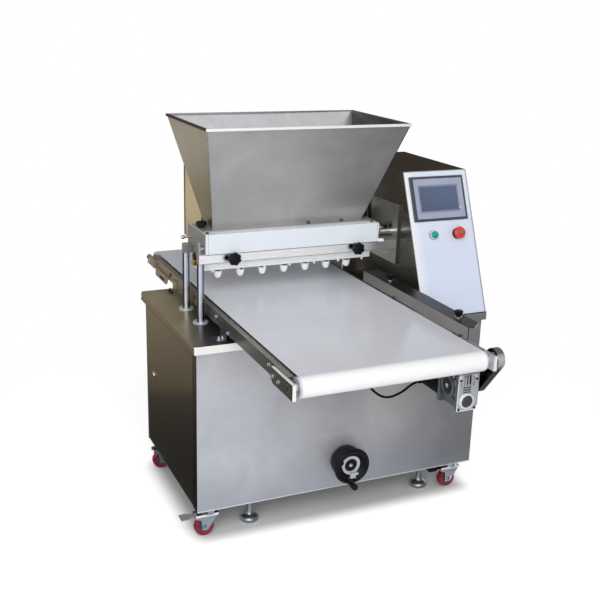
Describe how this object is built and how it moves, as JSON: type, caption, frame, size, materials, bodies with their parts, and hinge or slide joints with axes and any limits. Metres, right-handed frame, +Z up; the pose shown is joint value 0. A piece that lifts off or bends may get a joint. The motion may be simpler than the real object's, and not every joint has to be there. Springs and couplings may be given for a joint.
{
  "type": "batter depositor",
  "caption": "Floor-standing batter depositor: open hopper over a row of nozzles, belt conveyor under it, control tower at the right and a cabinet on casters.",
  "frame": {"origin": "on the floor, under the middle of the object's width and of the conveyor's length", "axes": "+Z up, +Y to the back along the conveyor, +X to the right when facing the control panel"},
  "size_m": [1.058, 1.374, 1.276],
  "materials": {
    "stainless": "brushed",
    "deck_steel": "brushed, dull",
    "frame_steel": "satin",
    "machined_steel": "machined",
    "chrome_rod": "polished",
    "food_plastic": "satin",
    "panel_paint": "satin",
    "touch_bezel": "satin",
    "green_cap": "gloss",
    "red_cap": "gloss",
    "belt_white": "smooth",
    "cast_aluminium": "cast",
    "motor_paint": "satin",
    "guard_paint": "satin",
    "chain_steel": "oiled",
    "black_plastic": "satin",
    "cable_rubber": "matte",
    "zinc": "zinc plated",
    "wheel_red": "satin"
  },
  "bodies": {
    "base": {"base_frame": "frame_steel", "cabinet_shell": "stainless", "deck": "deck_steel", "post_guides": "machined_steel", "levelling_feet": "machined_steel", "tower_shell": "stainless", "control_panel": "panel_paint", "touch_panel": "touch_bezel", "conveyor_rails": "stainless", "slider_bed": "stainless", "bearing_plates": "machined_steel", "conveyor_brackets": "stainless", "belt": "belt_white", "conveyor_bolts": "machined_steel", "gearbox": "cast_aluminium", "motor": "motor_paint", "chain": "chain_steel", "chain_guard": "guard_paint", "motor_cable": "cable_rubber", "bevel_box": "cast_aluminium"},
    "head": {"head_bars": "stainless", "lift_posts": "chrome_rod", "lift_yoke": "frame_steel", "slide_plate": "stainless", "manifold": "food_plastic", "nozzle_bar": "food_plastic", "nozzles": "food_plastic", "hopper": "stainless", "head_fittings": "machined_steel", "valve_actuator": "cast_aluminium", "drive_housing": "stainless"},
    "valve": {"valve_rotor": "machined_steel"},
    "piston_drive": {"piston_set": "machined_steel"},
    "star_knob_left": {"star_knob_left": "black_plastic"},
    "star_knob_right": {"star_knob_right": "black_plastic"},
    "handwheel": {"handwheel": "black_plastic"},
    "handwheel_handle": {"handwheel_handle": "black_plastic"},
    "lift_screw": {"lift_screw": "machined_steel"},
    "door": {"door": "stainless"},
    "door_lock": {"door_lock": "machined_steel"},
    "start_button": {"start_button": "green_cap"},
    "stop_button": {"stop_button": "red_cap"},
    "drive_roller": {"drive_roller": "cast_aluminium"},
    "tail_roller": {"tail_roller": "cast_aluminium"},
    "output_sprocket": {"output_sprocket": "machined_steel"},
    "tray_guide": {"tray_guide": "stainless"},
    "guide_knob_front": {"guide_knob_front": "black_plastic"},
    "guide_knob_rear": {"guide_knob_rear": "black_plastic"},
    "caster_fork_front_left": {"caster_fork_front_left": "zinc"},
    "caster_wheel_front_left": {"caster_wheel_front_left": "wheel_red"},
    "caster_pedal_front_left": {"caster_pedal_front_left": "zinc"},
    "caster_fork_front_right": {"caster_fork_front_right": "zinc"},
    "caster_wheel_front_right": {"caster_wheel_front_right": "wheel_red"},
    "caster_pedal_front_right": {"caster_pedal_front_right": "zinc"},
    "caster_fork_rear_left": {"caster_fork_rear_left": "zinc"},
    "caster_wheel_rear_left": {"caster_wheel_rear_left": "wheel_red"},
    "caster_fork_rear_right": {"caster_fork_rear_right": "zinc"},
    "caster_wheel_rear_right": {"caster_wheel_rear_right": "wheel_red"}
  },
  "joints": [
    {"name": "head_lift", "type": "slide", "parent": "base", "child": "head", "axis": [0, 0, 1], "range_m": [0, 0.06]},
    {"name": "handwheel_turn", "type": "hinge", "parent": "base", "child": "handwheel", "pos_m": [0.015, -0.24, 0.205], "axis": [0, 1, 0], "range_deg": [0, 2161]},
    {"name": "handle_spin", "type": "hinge", "parent": "handwheel", "child": "handwheel_handle", "pos_m": [0, -0.273, 0.159], "axis": [0, 1, 0], "continuous": true},
    {"name": "screw_turn", "type": "hinge", "parent": "base", "child": "lift_screw", "pos_m": [0.015, 0.095, 0.3], "axis": [0, 0, 1], "range_deg": [-2161, 0]},
    {"name": "valve_turn", "type": "hinge", "parent": "head", "child": "valve", "pos_m": [-0.0965, 0.095, 0.897], "axis": [-1, 0, 0], "range_deg": [0, 90]},
    {"name": "piston_stroke", "type": "slide", "parent": "head", "child": "piston_drive", "axis": [0, 1, 0], "range_m": [0, 0.04]},
    {"name": "star_knob_left_turn", "type": "hinge", "parent": "head", "child": "star_knob_left", "pos_m": [-0.307, -0.012, 0.863], "axis": [0, 1, 0], "range_deg": [0, 360]},
    {"name": "star_knob_right_turn", "type": "hinge", "parent": "head", "child": "star_knob_right", "pos_m": [0.123, -0.012, 0.863], "axis": [0, 1, 0], "range_deg": [0, 360]},
    {"name": "door_swing", "type": "hinge", "parent": "base", "child": "door", "pos_m": [-0.479, -0.124, 0.37], "axis": [0, 0, 1], "range_deg": [0, 110]},
    {"name": "door_lock_turn", "type": "hinge", "parent": "door", "child": "door_lock", "pos_m": [-0.485, 0.31, 0.382], "axis": [-1, 0, 0], "range_deg": [0, 90]},
    {"name": "start_press", "type": "slide", "parent": "base", "child": "start_button", "axis": [0, 0.9239, -0.3827], "range_m": [0, 0.003], "stiffness_N_per_m": 1500, "springref_m": -0.002},
    {"name": "stop_press", "type": "slide", "parent": "base", "child": "stop_button", "axis": [0, 0.9239, -0.3827], "range_m": [0, 0.005]},
    {"name": "drive_roller_turn", "type": "hinge", "parent": "base", "child": "drive_roller", "pos_m": [-0.0965, -0.656, 0.6987], "axis": [1, 0, 0], "continuous": true},
    {"name": "tail_roller_turn", "type": "hinge", "parent": "base", "child": "tail_roller", "pos_m": [-0.0965, 0.656, 0.6987], "axis": [1, 0, 0], "continuous": true},
    {"name": "output_turn", "type": "hinge", "parent": "base", "child": "output_sprocket", "pos_m": [0.165, -0.583, 0.605], "axis": [1, 0, 0], "continuous": true},
    {"name": "tray_guide_shift", "type": "slide", "parent": "base", "child": "tray_guide", "axis": [-1, 0, 0], "range_m": [0, 0.02]},
    {"name": "guide_knob_front_turn", "type": "hinge", "parent": "base", "child": "guide_knob_front", "pos_m": [0.206, -0.488, 0.78], "axis": [0, 0, 1], "range_deg": [0, 360]},
    {"name": "guide_knob_rear_turn", "type": "hinge", "parent": "base", "child": "guide_knob_rear", "pos_m": [0.206, -0.085, 0.78], "axis": [0, 0, 1], "range_deg": [0, 360]},
    {"name": "swivel_front_left", "type": "hinge", "parent": "base", "child": "caster_fork_front_left", "pos_m": [-0.435, -0.134, 0.09], "axis": [0, 0, 1], "continuous": true},
    {"name": "roll_front_left", "type": "hinge", "parent": "caster_fork_front_left", "child": "caster_wheel_front_left", "pos_m": [-0.451, -0.134, 0.032], "axis": [0, 1, 0], "continuous": true},
    {"name": "brake_front_left", "type": "hinge", "parent": "caster_fork_front_left", "child": "caster_pedal_front_left", "pos_m": [-0.476, -0.134, 0.071], "axis": [0, -1, 0], "range_deg": [0, 12]},
    {"name": "swivel_front_right", "type": "hinge", "parent": "base", "child": "caster_fork_front_right", "pos_m": [0.465, -0.134, 0.09], "axis": [0, 0, 1], "continuous": true},
    {"name": "roll_front_right", "type": "hinge", "parent": "caster_fork_front_right", "child": "caster_wheel_front_right", "pos_m": [0.449, -0.134, 0.032], "axis": [0, 1, 0], "continuous": true},
    {"name": "brake_front_right", "type": "hinge", "parent": "caster_fork_front_right", "child": "caster_pedal_front_right", "pos_m": [0.424, -0.134, 0.071], "axis": [0, -1, 0], "range_deg": [0, 12]},
    {"name": "swivel_rear_left", "type": "hinge", "parent": "base", "child": "caster_fork_rear_left", "pos_m": [-0.435, 0.356, 0.09], "axis": [0, 0, 1], "continuous": true},
    {"name": "roll_rear_left", "type": "hinge", "parent": "caster_fork_rear_left", "child": "caster_wheel_rear_left", "pos_m": [-0.451, 0.356, 0.032], "axis": [0, 1, 0], "continuous": true},
    {"name": "swivel_rear_right", "type": "hinge", "parent": "base", "child": "caster_fork_rear_right", "pos_m": [0.465, 0.356, 0.09], "axis": [0, 0, 1], "continuous": true},
    {"name": "roll_rear_right", "type": "hinge", "parent": "caster_fork_rear_right", "child": "caster_wheel_rear_right", "pos_m": [0.449, 0.356, 0.032], "axis": [0, 1, 0], "continuous": true}
  ],
  "couplings": [
    {"joint": "handwheel_turn", "follows": "head_lift", "rad_per_m": 628.32},
    {"joint": "screw_turn", "follows": "head_lift", "rad_per_m": -628.32},
    {"joint": "tail_roller_turn", "follows": "drive_roller_turn", "ratio": 1},
    {"joint": "output_turn", "follows": "drive_roller_turn", "ratio": 1}
  ]
}
